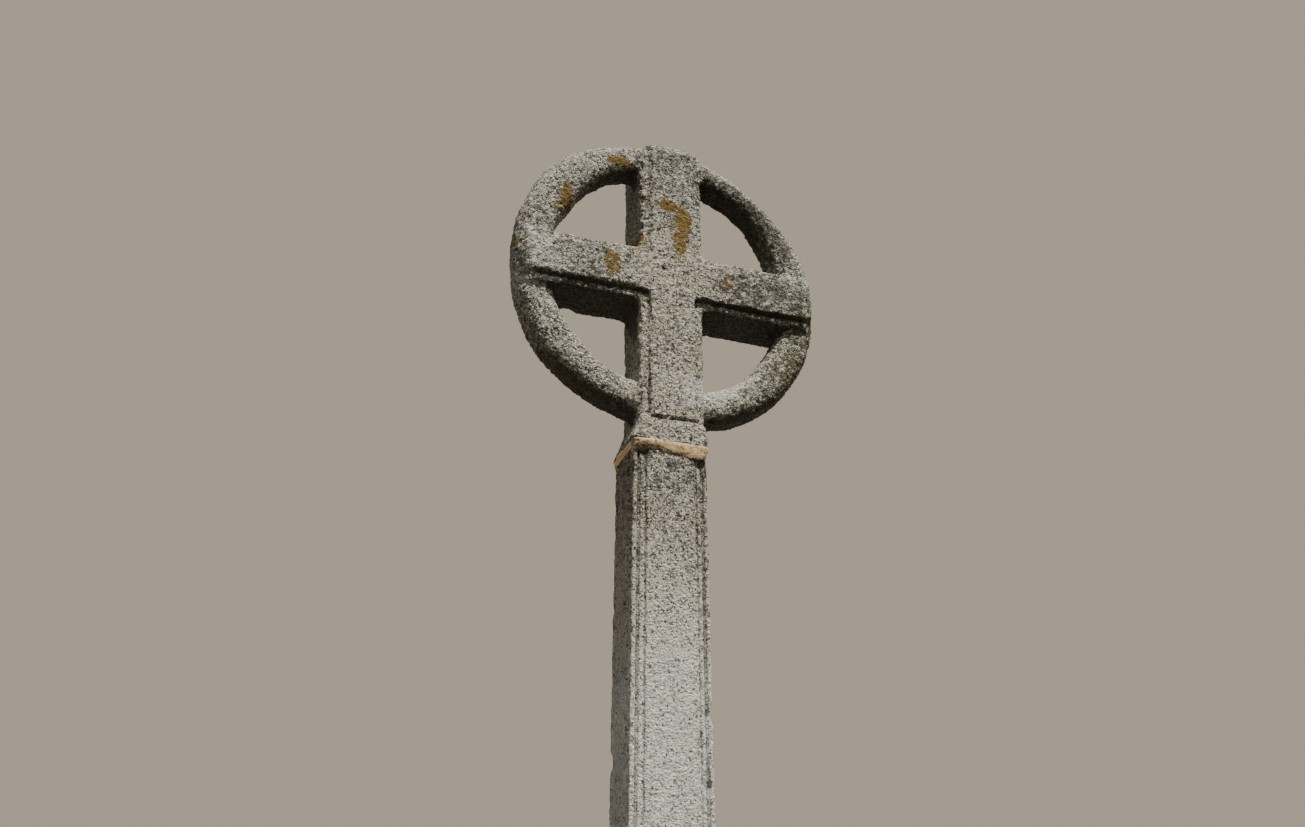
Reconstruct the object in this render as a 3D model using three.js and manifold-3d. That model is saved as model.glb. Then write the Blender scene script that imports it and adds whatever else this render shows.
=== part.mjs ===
// A granite cross with a ring round its crossing, on a tall shaft with reeded corners, set on a plinth and
// one low step. Lengths are in millimetres. +Z is up, the front looks towards -Y, and +X is to the right of
// somebody who faces the front. The origin is at the middle of the step's underside.
import * as THREE from 'three';
import { mergeVertices } from 'three/addons/utils/BufferGeometryUtils.js';
import Module from 'manifold-3d';

const wasm = await Module();
wasm.setup();

// Base step
const STEP_WIDTH = 900;
const STEP_HEIGHT = 190;
const STEP_CHAMFER = 22;

// Plinth
const PLINTH_WIDTH = 600;
const PLINTH_HEIGHT = 520;
const PLINTH_SLOPE_HEIGHT = 105;
const PLINTH_LEDGE = 44; // flat ledge left round the foot of the shaft
const PLINTH_UPSTAND = 14; // low step between the slope and the ledge
const PLINTH_CORNER_CHAMFER = 26;

// Shaft
const SHAFT_LENGTH = 2000;
const SHAFT_TOP_WIDTH = 150;
const SHAFT_FOOT_WIDTH = 180;
const SHAFT_TOP_DEPTH = 110; // the shaft is less deep than it is wide
const SHAFT_FOOT_DEPTH = 119;
const SHAFT_BLOCK_HEIGHT = 230; // square block at the foot, where the reeds stop
const SHAFT_BLOCK_PROJECTION = 5;
const SHAFT_STOP_HEIGHT = 34; // slope from the block up to the reeds
const CORNER_REED_RADIUS = 5.5;
const FACE_REED_RADIUS = 5.5;
const QUIRK_WIDTH = 2.5; // narrow cut between two reeds
const QUIRK_DEPTH = 7;
const SHAFT_GROOVE_WIDTH = 4; // groove between the reeds and the flat panel
const SHAFT_GROOVE_DEPTH = 6;
const SHAFT_PANEL_RISE = 2.5; // the panel stands this far in front of the reeds
const REED_START = 20; // angle at which a reed leaves the cut beside it, in degrees

// Mortar bed between the shaft and the head
const MORTAR_THICKNESS = 18;
const MORTAR_BULGE = 2.5;
const HEAD_SHIFT = 6; // the head sits this far to the right of the shaft's axis

// Cross arms
const UPRIGHT_WIDTH = 136;
const CROSSBAR_HEIGHT = 126;
const BAR_DEPTH = 104; // measured over the corner beads, front to back
const BEAD_RADIUS = 7.5;
const SIDE_QUIRK_WIDTH = 4;
const SIDE_QUIRK_DEPTH = 3.5;
const PANEL_RISE = 8.5; // the raised panel stands this far in front of the beads
const PANEL_GROOVE_WIDTH = 5;
const PANEL_GROOVE_DEPTH = 7;
const PANEL_GROOVE_EASING = 2; // width and depth of the eased edge of the groove
const PANEL_FOOT = 324; // from the middle of the crossing down to the panel's lower end
const CROSSING_FILLET = 9;
const HEAD_TOP = 334; // from the middle of the crossing up to the top of the dome
const DOME_RISE = 30;
const DOME_MARGIN = 2; // the dome's curve is this much wider than the upright on each side
const ARM_END_SET_BACK = 11; // the ends of the crossbar stop this far inside the ring's rim
const ARM_END_ROUNDING = 32;

// Flared foot of the head
const FOOT_DROP = 377; // from the middle of the crossing down to the mortar
const FOOT_WIDTH = 156;
const FOOT_DEPTH = 126;
const FOOT_FLARE_HEIGHT = 40;
const FOOT_LIP = 7; // upright edge below the flare
const FOOT_FLARE_POWER = 1.6; // 1 is a straight slope, and more is a hollower curve

// Ring
const RING_RADIUS = 325;
const RING_BAND = 74; // from the inner edge to the outer edge
const RING_DEPTH = 62;
const RING_FORWARD = 11; // the ring's middle plane lies this far in front of the shaft's axis
const RING_RAISED = 7; // the ring's centre lies this far above the middle of the crossing
const RING_FRONT_ROLL = 27; // depth of the rounded front edges
const RING_BACK_ROLL = 12;

// Uneven cutting of the ring: where each swell or dip is, how wide it is, and how far the outer and the inner
// edge move outwards there. Angles run anticlockwise from +X, as seen from the front.
const RING_SWELLS = [
  { angle: 0, spread: 12, outer: -7, inner: 0 },
  { angle: 20, spread: 14, outer: 0, inner: -7 },
  { angle: 50, spread: 28, outer: -16, inner: 0 },
  { angle: 58, spread: 16, outer: 0, inner: 7 },
  { angle: 118, spread: 12, outer: 0, inner: 6 },
  { angle: 134, spread: 22, outer: 16, inner: 0 },
  { angle: 148, spread: 10, outer: 0, inner: -5 },
  { angle: 188, spread: 14, outer: -4, inner: 0 },
  { angle: 218, spread: 22, outer: 5, inner: -4 },
  { angle: 240, spread: 12, outer: 0, inner: 5 },
  { angle: -60, spread: 12, outer: 0, inner: 6 },
  { angle: -48, spread: 26, outer: 6, inner: -2 },
];

// Fits and smoothness
const SEAT_GAP = 0.3;
const RING_SEGMENTS = 72;
const ROUNDING_STEPS = 4;

// Heights of the seats, one above the other
const PLINTH_BASE = STEP_HEIGHT + SEAT_GAP;
const SHAFT_BASE = PLINTH_BASE + PLINTH_HEIGHT + SEAT_GAP;
const MORTAR_BASE = SHAFT_BASE + SHAFT_LENGTH + SEAT_GAP;
const HEAD_BASE = MORTAR_BASE + MORTAR_THICKNESS + SEAT_GAP;
const CROSSING_HEIGHT = HEAD_BASE + FOOT_DROP;

const CUTTER_REACH = 2 * (RING_RADIUS + FOOT_DROP); // longer than the head, for tools that cut right through
const radians = (degrees) => (degrees * Math.PI) / 180;

// Turns a closed geometry into a solid that can be joined and cut.
function solidFrom(geometry) {
  const bare = geometry.clone();
  bare.deleteAttribute('normal');
  bare.deleteAttribute('uv');
  const merged = mergeVertices(bare, 1e-4);
  const corners = merged.index.array;
  const triangles = [];
  for (let i = 0; i < corners.length; i += 3) {
    const [a, b, c] = [corners[i], corners[i + 1], corners[i + 2]];
    if (a !== b && b !== c && c !== a) {
      triangles.push(a, b, c);
    }
  }
  return new wasm.Manifold(
    new wasm.Mesh({
      numProp: 3,
      vertProperties: new Float32Array(merged.attributes.position.array),
      triVerts: new Uint32Array(triangles),
    }),
  );
}

// Turns a finished solid back into a geometry.
function geometryFrom(solid) {
  const mesh = solid.getMesh();
  const geometry = new THREE.BufferGeometry();
  geometry.setAttribute('position', new THREE.BufferAttribute(mesh.vertProperties, 3));
  geometry.setIndex(new THREE.BufferAttribute(mesh.triVerts, 1));
  geometry.computeVertexNormals();
  return geometry;
}

function shapeFrom(points) {
  return new THREE.Shape(points.map(([x, y]) => new THREE.Vector2(x, y)));
}

// A solid with one outline in the XY plane, from height low to height high.
function uprightExtrusion(points, low, high) {
  const geometry = new THREE.ExtrudeGeometry(shapeFrom(points), { depth: high - low, bevelEnabled: false });
  return solidFrom(geometry.translate(0, 0, low));
}

// A solid whose outline, seen from the front, is a closed list of [x, z] points.
function frontExtrusion(points, depth) {
  const geometry = new THREE.ExtrudeGeometry(shapeFrom(points), { depth, bevelEnabled: false });
  return solidFrom(geometry.translate(0, 0, -depth / 2).rotateX(Math.PI / 2));
}

// Closes one side's profile, a list of [half width, height] points, into an outline by mirroring it.
function mirroredOutline(profile) {
  const left = profile.map(([half, height]) => [-half, height]).reverse();
  return [...profile, ...left];
}

// A rectangular block whose width and depth change with height, each by its own profile.
function profiledBlock(widthProfile, depthProfile = widthProfile) {
  const reach = 3 * Math.max(...widthProfile.map(([half]) => half), ...depthProfile.map(([half]) => half));
  const across = frontExtrusion(mirroredOutline(widthProfile), reach);
  const through = frontExtrusion(mirroredOutline(depthProfile), reach).rotate([0, 0, 90]);
  return across.intersect(through);
}

// A box given by its size and its middle.
function block(size, middle) {
  return solidFrom(new THREE.BoxGeometry(...size).translate(...middle));
}

// Points on an arc, where an angle of 90 degrees points out of the face and depth is measured into it.
function arcInFace(along, depth, radius, from, to, steps) {
  const points = [];
  for (let i = 0; i <= steps; i += 1) {
    const angle = radians(from + ((to - from) * i) / steps);
    points.push([along + radius * Math.cos(angle), depth - radius * Math.sin(angle)]);
  }
  return points;
}

// Repeats one corner, given as [distance from the corner, depth into the face] points from the face's middle
// to the corner's diagonal, round all four corners of a rectangle.
function rectangleWithCorners(halfWidth, halfDepth, frontHalf, sideHalf) {
  const outline = [];
  const frontRight = [
    ...frontHalf.map(([along, depth]) => [halfWidth - along, -halfDepth + depth]),
    ...[...sideHalf].reverse().map(([along, depth]) => [halfWidth - depth, -halfDepth + along]),
  ];
  const backRight = frontRight.map(([x, y]) => [x, -y]).reverse();
  outline.push(...frontRight, ...backRight);
  outline.push(...[...outline].reverse().map(([x, y]) => [-x, y]));
  return outline;
}

// Shaft

const SHAFT_CORNER_WIDTH =
  2 * CORNER_REED_RADIUS + QUIRK_WIDTH + 2 * FACE_REED_RADIUS + SHAFT_GROOVE_WIDTH;

// Half of the shaft's corner: the panel's edge, the groove, the face reed, the quirk and half the corner reed.
function reededCornerHalf() {
  const faceReedAlong = 2 * CORNER_REED_RADIUS + QUIRK_WIDTH + FACE_REED_RADIUS;
  const grooveInner = faceReedAlong + FACE_REED_RADIUS;
  const faceReed = arcInFace(
    faceReedAlong,
    FACE_REED_RADIUS,
    FACE_REED_RADIUS,
    REED_START,
    180 - REED_START,
    ROUNDING_STEPS,
  );
  const radius = CORNER_REED_RADIUS;
  const cornerReed = arcInFace(radius, radius, radius, REED_START, 135, ROUNDING_STEPS);
  cornerReed.pop(); // the point on the diagonal is shared, and the two neighbours round it well enough
  return [
    [SHAFT_CORNER_WIDTH, -SHAFT_PANEL_RISE],
    [SHAFT_CORNER_WIDTH, SHAFT_GROOVE_DEPTH],
    [grooveInner, SHAFT_GROOVE_DEPTH],
    ...faceReed,
    [2 * CORNER_REED_RADIUS + QUIRK_WIDTH / 2, QUIRK_DEPTH],
    ...cornerReed,
  ];
}

// Half the shaft's width and half its depth at a height above its foot.
function shaftHalves(height) {
  const share = height / SHAFT_LENGTH;
  return [
    (SHAFT_FOOT_WIDTH + (SHAFT_TOP_WIDTH - SHAFT_FOOT_WIDTH) * share) / 2,
    (SHAFT_FOOT_DEPTH + (SHAFT_TOP_DEPTH - SHAFT_FOOT_DEPTH) * share) / 2,
  ];
}

// The reeds keep their size all the way down, and the flat panels between them widen towards the foot.
function reededShaft(low, high) {
  const corner = reededCornerHalf();
  const outline = rectangleWithCorners(SHAFT_TOP_WIDTH / 2, SHAFT_TOP_DEPTH / 2, corner, corner);
  const geometry = new THREE.ExtrudeGeometry(shapeFrom(outline), { depth: high - low, bevelEnabled: false });
  geometry.translate(0, 0, low);
  const position = geometry.attributes.position;
  for (let i = 0; i < position.count; i += 1) {
    const [halfWidth, halfDepth] = shaftHalves(position.getZ(i));
    const [x, y] = [position.getX(i), position.getY(i)];
    position.setX(i, x + Math.sign(x) * (halfWidth - SHAFT_TOP_WIDTH / 2));
    position.setY(i, y + Math.sign(y) * (halfDepth - SHAFT_TOP_DEPTH / 2));
  }
  return solidFrom(geometry);
}

function buildShaft() {
  const stopTop = SHAFT_BLOCK_HEIGHT + SHAFT_STOP_HEIGHT;
  const [stopHalfWidth, stopHalfDepth] = shaftHalves(stopTop);
  const profile = (footHalf, stopHalf) => [
    [footHalf + SHAFT_BLOCK_PROJECTION, 0],
    [footHalf + SHAFT_BLOCK_PROJECTION, SHAFT_BLOCK_HEIGHT],
    [stopHalf - QUIRK_DEPTH, stopTop],
  ];
  const footBlock = profiledBlock(
    profile(SHAFT_FOOT_WIDTH / 2, stopHalfWidth),
    profile(SHAFT_FOOT_DEPTH / 2, stopHalfDepth),
  );
  return reededShaft(SHAFT_BLOCK_HEIGHT / 2, SHAFT_LENGTH).add(footBlock);
}

// Plinth and step

function buildPlinth() {
  const half = PLINTH_WIDTH / 2;
  const slopeFoot = PLINTH_HEIGHT - PLINTH_UPSTAND - PLINTH_SLOPE_HEIGHT;
  const profile = (shaftFoot) => {
    const ledgeHalf = shaftFoot / 2 + SHAFT_BLOCK_PROJECTION + PLINTH_LEDGE;
    return [
      [half, 0],
      [half, slopeFoot],
      [ledgeHalf, PLINTH_HEIGHT - PLINTH_UPSTAND],
      [ledgeHalf, PLINTH_HEIGHT],
    ];
  };
  const body = profiledBlock(profile(SHAFT_FOOT_WIDTH), profile(SHAFT_FOOT_DEPTH));
  const diagonal = Math.SQRT2 * (PLINTH_WIDTH - PLINTH_CORNER_CHAMFER);
  const chamferTool = solidFrom(
    new THREE.BoxGeometry(diagonal, diagonal, 3 * PLINTH_HEIGHT).rotateZ(Math.PI / 4),
  );
  return body.intersect(chamferTool);
}

function buildStep() {
  const half = STEP_WIDTH / 2;
  return profiledBlock([
    [half, 0],
    [half, STEP_HEIGHT - STEP_CHAMFER],
    [half - STEP_CHAMFER, STEP_HEIGHT],
  ]);
}

// Mortar

function buildMortar() {
  const profile = (shaftSize, footSize) => {
    const [low, high] = [shaftSize / 2, footSize / 2 - MORTAR_BULGE];
    const points = [];
    for (let i = 0; i <= ROUNDING_STEPS; i += 1) {
      const share = i / ROUNDING_STEPS;
      const bulge = MORTAR_BULGE * Math.sin(Math.PI * share);
      points.push([low + (high - low) * share + bulge, MORTAR_THICKNESS * share]);
    }
    return points;
  };
  return profiledBlock(profile(SHAFT_TOP_WIDTH, FOOT_WIDTH), profile(SHAFT_TOP_DEPTH, FOOT_DEPTH));
}

// Head. Its parts are built round the middle of the crossing, and moved up at the end.

// Half of a bar's corner, seen on the front face or on the side face: flat face, then a quarter of the bead.
function beadCornerHalf(withQuirk) {
  const arc = arcInFace(BEAD_RADIUS, BEAD_RADIUS, BEAD_RADIUS, 90, 135, ROUNDING_STEPS / 2);
  if (!withQuirk) {
    return arc;
  }
  const quirkStart = 2 * BEAD_RADIUS;
  arc.pop(); // the point on the diagonal belongs to the front half
  return [
    [quirkStart + SIDE_QUIRK_WIDTH, 0],
    [quirkStart + SIDE_QUIRK_WIDTH / 2, SIDE_QUIRK_DEPTH],
    [quirkStart, 0],
    ...arc,
  ];
}

// A bar with beaded corners that stands upright, with its raised panels on the front and the back.
function beadedBar(width, low, high, panelLow) {
  const outline = rectangleWithCorners(width / 2, BAR_DEPTH / 2, beadCornerHalf(false), beadCornerHalf(true));
  const bar = uprightExtrusion(outline, low, high);
  const panelHalf = width / 2 - 2 * BEAD_RADIUS - PANEL_GROOVE_WIDTH;
  const panelDepth = BAR_DEPTH + 2 * PANEL_RISE;
  const panel = block([2 * panelHalf, panelDepth, high - panelLow], [0, 0, (high + panelLow) / 2]);
  return bar.add(panel);
}

// The groove that follows the edge of the cross-shaped panel on the front and on the back.
function panelGroove() {
  const uprightHalf = UPRIGHT_WIDTH / 2 - 2 * BEAD_RADIUS - PANEL_GROOVE_WIDTH;
  const crossbarHalf = CROSSBAR_HEIGHT / 2 - 2 * BEAD_RADIUS - PANEL_GROOVE_WIDTH;
  const upright = (margin, foot, depth) => {
    const height = CUTTER_REACH + foot;
    return block([2 * (uprightHalf + margin), depth, height], [0, 0, CUTTER_REACH / 2 - foot / 2]);
  };
  const crossbar = (margin, depth) => block([CUTTER_REACH, depth, 2 * (crossbarHalf + margin)], [0, 0, 0]);
  const panel = upright(0, PANEL_FOOT, 2 * BAR_DEPTH).add(crossbar(0, 2 * BAR_DEPTH));
  const cut = (margin, grooveDepth) => {
    const outer = upright(margin, PANEL_FOOT + margin, 2 * BAR_DEPTH).add(crossbar(margin, 2 * BAR_DEPTH));
    const core = block([2 * CUTTER_REACH, BAR_DEPTH - 2 * grooveDepth, 2 * CUTTER_REACH], [0, 0, 0]);
    return outer.subtract(panel).subtract(core);
  };
  const narrow = cut(PANEL_GROOVE_WIDTH, PANEL_GROOVE_DEPTH);
  const eased = cut(PANEL_GROOVE_WIDTH + PANEL_GROOVE_EASING, PANEL_GROOVE_EASING);
  return narrow.add(eased);
}

// A disc with rounded rims that trims the ends of the crossbar to the ring's outline.
function armEndTrim() {
  const radius = RING_RADIUS - ARM_END_SET_BACK;
  const halfDepth = BAR_DEPTH / 2 + PANEL_RISE;
  const profile = [new THREE.Vector2(0, -halfDepth)];
  for (let i = 0; i <= ROUNDING_STEPS; i += 1) {
    const angle = (Math.PI / 2) * (i / ROUNDING_STEPS);
    profile.push(
      new THREE.Vector2(
        radius - ARM_END_ROUNDING * (1 - Math.sin(angle)),
        -halfDepth + ARM_END_ROUNDING * (1 - Math.cos(angle)),
      ),
    );
  }
  const mirrored = profile.map((point) => new THREE.Vector2(point.x, -point.y)).reverse();
  const disc = new THREE.LatheGeometry([...profile, ...mirrored], RING_SEGMENTS);
  return solidFrom(disc.translate(0, 0, RING_RAISED));
}

// A block with a domed top that trims the end of the upright.
function domeTrim() {
  const dome = (half) => {
    const profile = [[half, -CUTTER_REACH]];
    for (let i = 0; i < 2 * ROUNDING_STEPS; i += 1) {
      const angle = (Math.PI / 2) * (i / (2 * ROUNDING_STEPS));
      profile.push([half * Math.cos(angle), HEAD_TOP - DOME_RISE * (1 - Math.sin(angle))]);
    }
    return profile;
  };
  return profiledBlock(dome(UPRIGHT_WIDTH / 2 + DOME_MARGIN), dome(BAR_DEPTH / 2 + PANEL_RISE + DOME_MARGIN));
}

// Small rounded fillets in the four inner corners of the crossing.
function crossingFillets() {
  const fillet = [];
  for (let i = 0; i <= ROUNDING_STEPS; i += 1) {
    const angle = Math.PI + (Math.PI / 2) * (i / ROUNDING_STEPS);
    fillet.push([CROSSING_FILLET * (1 + Math.cos(angle)), CROSSING_FILLET * (1 + Math.sin(angle))]);
  }
  const buried = BEAD_RADIUS;
  fillet.push([CROSSING_FILLET, -buried], [-buried, -buried], [-buried, CROSSING_FILLET]);
  const depth = BAR_DEPTH - 2 * BEAD_RADIUS;
  const corners = [];
  for (const sideX of [-1, 1]) {
    for (const sideZ of [-1, 1]) {
      const outline = fillet.map(([x, z]) => [
        sideX * (x + UPRIGHT_WIDTH / 2),
        sideZ * (z + CROSSBAR_HEIGHT / 2),
      ]);
      corners.push(frontExtrusion(outline, depth));
    }
  }
  return corners.reduce((joined, corner) => joined.add(corner));
}

// The foot widens in a hollow curve from the bar to the lip over the mortar.
function flaredFoot() {
  const top = -(PANEL_FOOT + PANEL_GROOVE_WIDTH);
  const flare = (halfStart, halfEnd) => {
    const lipTop = -FOOT_DROP + FOOT_LIP;
    const profile = [
      [halfEnd, -FOOT_DROP],
      [halfEnd, lipTop],
    ];
    for (let i = 1; i <= ROUNDING_STEPS; i += 1) {
      const share = 1 - i / ROUNDING_STEPS;
      const half = halfStart + (halfEnd - halfStart) * share ** FOOT_FLARE_POWER;
      profile.push([half, lipTop + FOOT_FLARE_HEIGHT * (1 - share)]);
    }
    if (profile.at(-1)[1] < top) {
      profile.push([halfStart, top]);
    }
    return profile;
  };
  const foot = profiledBlock(
    flare(UPRIGHT_WIDTH / 2, FOOT_WIDTH / 2),
    flare(BAR_DEPTH / 2 + PANEL_RISE, FOOT_DEPTH / 2),
  );
  // The foot leans back over the shaft's axis, so that its lower edge is centred on the mortar.
  return foot.warp((point) => {
    point[0] -= HEAD_SHIFT * Math.min(1, (top - point[2]) / (top + FOOT_DROP - FOOT_LIP));
  });
}

// How far a swell or dip moves an edge of the ring at one angle.
function swellAt(angle, edge) {
  let total = 0;
  for (const swell of RING_SWELLS) {
    const away = Math.atan2(Math.sin(angle - radians(swell.angle)), Math.cos(angle - radians(swell.angle)));
    total += swell[edge] * Math.exp(-((away / radians(swell.spread)) ** 2));
  }
  return total;
}

// The ring is a band with a deep roll on its front edges and a smaller one on its back edges.
function buildRing() {
  const middle = RING_RADIUS - RING_BAND / 2;
  const halfBand = RING_BAND / 2;
  const front = -RING_FORWARD - RING_DEPTH / 2;
  const back = -RING_FORWARD + RING_DEPTH / 2;
  const section = [];
  const roll = (side, face, inward, depth, from, to) => {
    for (let i = 0; i <= ROUNDING_STEPS; i += 1) {
      const angle = radians(from + ((to - from) * i) / ROUNDING_STEPS);
      const radius = middle + side * (halfBand - depth * (1 - Math.cos(angle)));
      section.push(new THREE.Vector2(radius, face + inward * depth * (1 - Math.sin(angle))));
    }
  };
  roll(1, front, 1, RING_FRONT_ROLL, 90, 0);
  roll(1, back, -1, RING_BACK_ROLL, 0, 90);
  roll(-1, back, -1, RING_BACK_ROLL, 90, 0);
  roll(-1, front, 1, RING_FRONT_ROLL, 0, 90);
  section.push(section[0].clone());
  const geometry = new THREE.LatheGeometry(section, RING_SEGMENTS);
  const position = geometry.attributes.position;
  for (let i = 0; i < position.count; i += 1) {
    const [x, z] = [position.getX(i), position.getZ(i)];
    const radius = Math.hypot(x, z);
    const angle = Math.atan2(z, x);
    const outerShare = (radius - (middle - halfBand)) / RING_BAND;
    const moved = radius + outerShare * swellAt(angle, 'outer') + (1 - outerShare) * swellAt(angle, 'inner');
    position.setX(i, moved * Math.cos(angle));
    position.setZ(i, moved * Math.sin(angle));
  }
  return solidFrom(geometry.translate(0, 0, RING_RAISED));
}

function buildHead() {
  const crossbar = beadedBar(CROSSBAR_HEIGHT, -CUTTER_REACH / 2, CUTTER_REACH / 2, -CUTTER_REACH / 2)
    .rotate([0, 90, 0])
    .intersect(armEndTrim());
  const upright = beadedBar(UPRIGHT_WIDTH, -FOOT_DROP + FOOT_LIP, CUTTER_REACH / 2, -PANEL_FOOT)
    .intersect(domeTrim());
  return crossbar
    .add(upright)
    .add(crossingFillets())
    .subtract(panelGroove())
    .add(buildRing())
    .add(flaredFoot());
}

// Puts a solid in the scene under a name a mason would use.
function place(name, solid, [shift, height], material) {
  const mesh = new THREE.Mesh(geometryFrom(solid), new THREE.MeshStandardMaterial(material));
  mesh.name = name;
  mesh.position.set(shift, 0, height);
  return mesh;
}

const GRANITE = { color: 0x857c6d, roughness: 0.95, metalness: 0 };
const PALE_GRANITE = { color: 0x928571, roughness: 0.95, metalness: 0 };
const MORTAR = { color: 0xb98b5c, roughness: 0.97, metalness: 0 };

const cross = new THREE.Group();
cross.add(place('base_step', buildStep(), [0, 0], PALE_GRANITE));
cross.add(place('plinth', buildPlinth(), [0, PLINTH_BASE], PALE_GRANITE));
cross.add(place('shaft', buildShaft(), [0, SHAFT_BASE], PALE_GRANITE));
cross.add(place('mortar_joint', buildMortar(), [0, MORTAR_BASE], MORTAR));
cross.add(place('cross_head', buildHead(), [HEAD_SHIFT, CROSSING_HEIGHT], GRANITE));

export default cross;
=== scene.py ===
"""Ringed cross memorial: a weathered granite wheel-head cross on a reeded shaft, a plinth and a step."""

import math

import bmesh
import bpy
import numpy as np
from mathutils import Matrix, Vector
from mathutils.bvhtree import BVHTree


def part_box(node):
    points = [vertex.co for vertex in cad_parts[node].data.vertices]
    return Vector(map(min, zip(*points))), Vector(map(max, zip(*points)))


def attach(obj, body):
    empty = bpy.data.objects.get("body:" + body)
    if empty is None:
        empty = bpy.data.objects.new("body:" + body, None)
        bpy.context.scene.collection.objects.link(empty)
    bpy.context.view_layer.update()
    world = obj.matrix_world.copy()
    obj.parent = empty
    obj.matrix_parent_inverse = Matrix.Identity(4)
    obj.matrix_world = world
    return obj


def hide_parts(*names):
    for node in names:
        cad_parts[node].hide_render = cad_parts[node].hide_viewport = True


bl_info = {
    "name": "Ringed Cross Memorial",
    "version": (1, 0, 0),
    "blender": (4, 5, 0),
    "location": "3D View > Sidebar > Ringed Cross",
    "description": "Builds the weathered stones of a ringed cross memorial round its packed frame",
    "category": "Add Mesh",
}

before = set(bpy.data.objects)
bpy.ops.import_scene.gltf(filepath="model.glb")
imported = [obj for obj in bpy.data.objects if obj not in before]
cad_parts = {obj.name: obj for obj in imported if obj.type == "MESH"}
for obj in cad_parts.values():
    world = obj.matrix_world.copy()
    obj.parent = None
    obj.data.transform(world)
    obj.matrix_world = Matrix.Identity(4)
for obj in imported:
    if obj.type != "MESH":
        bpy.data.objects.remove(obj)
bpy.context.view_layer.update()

# Places taken from the frame, in metres

HEAD_LOW, HEAD_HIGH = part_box("cross_head")
MORTAR_LOW, MORTAR_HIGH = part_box("mortar_joint")
SHAFT_LOW, SHAFT_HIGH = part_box("shaft")
PLINTH_LOW, PLINTH_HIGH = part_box("plinth")
STEP_LOW, STEP_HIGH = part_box("base_step")
AXIS_X = 0.006  # the head stands this far to the right of the shaft's axis
CROSSING_Z = HEAD_LOW.z + 0.377  # the middle of the crossing
RING_Z = CROSSING_Z + 0.007  # the middle of the ring
MERGE_DISTANCE = 0.00001

# How strongly each stone has weathered: sizes in metres, shares from 0 to 1

WEATHERING_KEYS = (
    "Swell Height", "Swell Size", "Grain Height", "Grain Size", "Pit Depth", "Pit Size", "Pit Share",
    "Chip Depth", "Chip Size", "Arris Wear", "Tooling Depth", "Tooling Spacing", "Seed")
WEATHERING = {
    "head": (0.0024, 0.075, 0.0024, 0.0066, 0.0028, 0.013, 0.13, 0.0055, 0.034, 0.001, 0.0, 0.01, 11.3),
    "shaft": (0.0014, 0.11, 0.0015, 0.01, 0.0026, 0.013, 0.1, 0.0034, 0.036, 0.0008, 0.0, 0.01, 23.7),
    "mortar": (0.0016, 0.03, 0.0007, 0.005, 0.002, 0.01, 0.12, 0.0, 0.02, 0.0, 0.0, 0.01, 31.1),
    "plinth": (0.0036, 0.16, 0.0018, 0.015, 0.0036, 0.022, 0.2, 0.009, 0.06, 0.002, 0.002, 0.03, 47.9),
    "step": (0.0044, 0.19, 0.002, 0.017, 0.004, 0.026, 0.22, 0.012, 0.08, 0.0024, 0.0016, 0.034, 59.2),
}
SWELL_LEVEL, GRAIN_LEVEL = 0.57, 0.53  # noise above these stands out from the stone
NO_UPPER_BED = 10.0  # a height that no stone reaches

# How fine each mesh is, in metres, and how many triangles the head may have

HEAD_VOXEL, MORTAR_VOXEL, PLINTH_VOXEL, STEP_VOXEL = 0.0026, 0.0026, 0.0062, 0.0070
HEAD_TRIANGLES = 190000

# Hollows that are this deep, in metres, get as much grime and painted shade as they can

HEAD_HOLLOW, MORTAR_HOLLOW, SHAFT_HOLLOW, BASE_HOLLOW = 0.0022, 0.0020, 0.0040, 0.0045

# Line cut into the front of the head's foot: height, half its length and width, and depth, in metres

FOOT_LINE = (CROSSING_Z - 0.3235, 0.048, 0.0028, 0.006)

# Granite: warmth, paleness, darkness, grime and painted shade in hollows, and roughness of each stone

GRANITE = {
    "head": (0.35, -0.08, 0.08, 0.55, 1.0),
    "shaft": (0.65, -0.2, -0.04, 0.62, 1.2),
    "plinth": (0.5, 0.0, 0.02, 0.5, 1.0),
    "step": (0.5, 0.0, 0.02, 0.5, 1.0),
}

# Growths: size of an island, how ragged it is, how soft its edge is, seed, and how far it hides what is below

GROWTHS = {
    "pale": (0.011, 1.7, 0.28, 4.0, 0.56),
    "soot": (0.013, 1.5, 0.3, 9.0, 0.8),
    "moss": (0.016, 1.4, 0.25, 14.0, 0.8),
    "orange": (0.01, 1.3, 0.14, 19.0, 0.92),
    "algae_and_shade": (0.02, 0.9, 0.45, 24.0, 0.86),
    "dirt": (0.014, 1.2, 0.3, 6.0, 0.45),
    "crust": (0.007, 0.9, 0.18, 16.0, 1.0),
}

# How far the mouldings are rounded away: above the crossing, then on the lower upright and under each arm

UPPER_WEAR, UPRIGHT_WEAR, LEFT_ARM_WEAR, RIGHT_ARM_WEAR = 0.9, 0.45, 0.5, 0.2

# Worn places: x and height from the middle of the crossing, depth from the shaft's axis, radius, how deep

HEAD_WORN_PLACES = [
    (-0.322, -0.056, -0.052, 0.034, 0.009),
    (0.31, -0.05, -0.05, 0.022, 0.008),
    (-0.064, 0.176, -0.052, 0.01, 0.006),
    (-0.066, 0.112, -0.052, 0.01, 0.006),
    (0.066, 0.265, -0.05, 0.012, 0.004),
    (-0.066, 0.316, -0.044, 0.03, 0.003),
    (0.072, -0.372, -0.066, 0.016, 0.006),
    (-0.076, -0.36, 0.066, 0.02, 0.007),
    (0.12, 0.064, 0.052, 0.018, 0.006),
    (-0.19, -0.062, 0.052, 0.022, 0.007),
]

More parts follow.
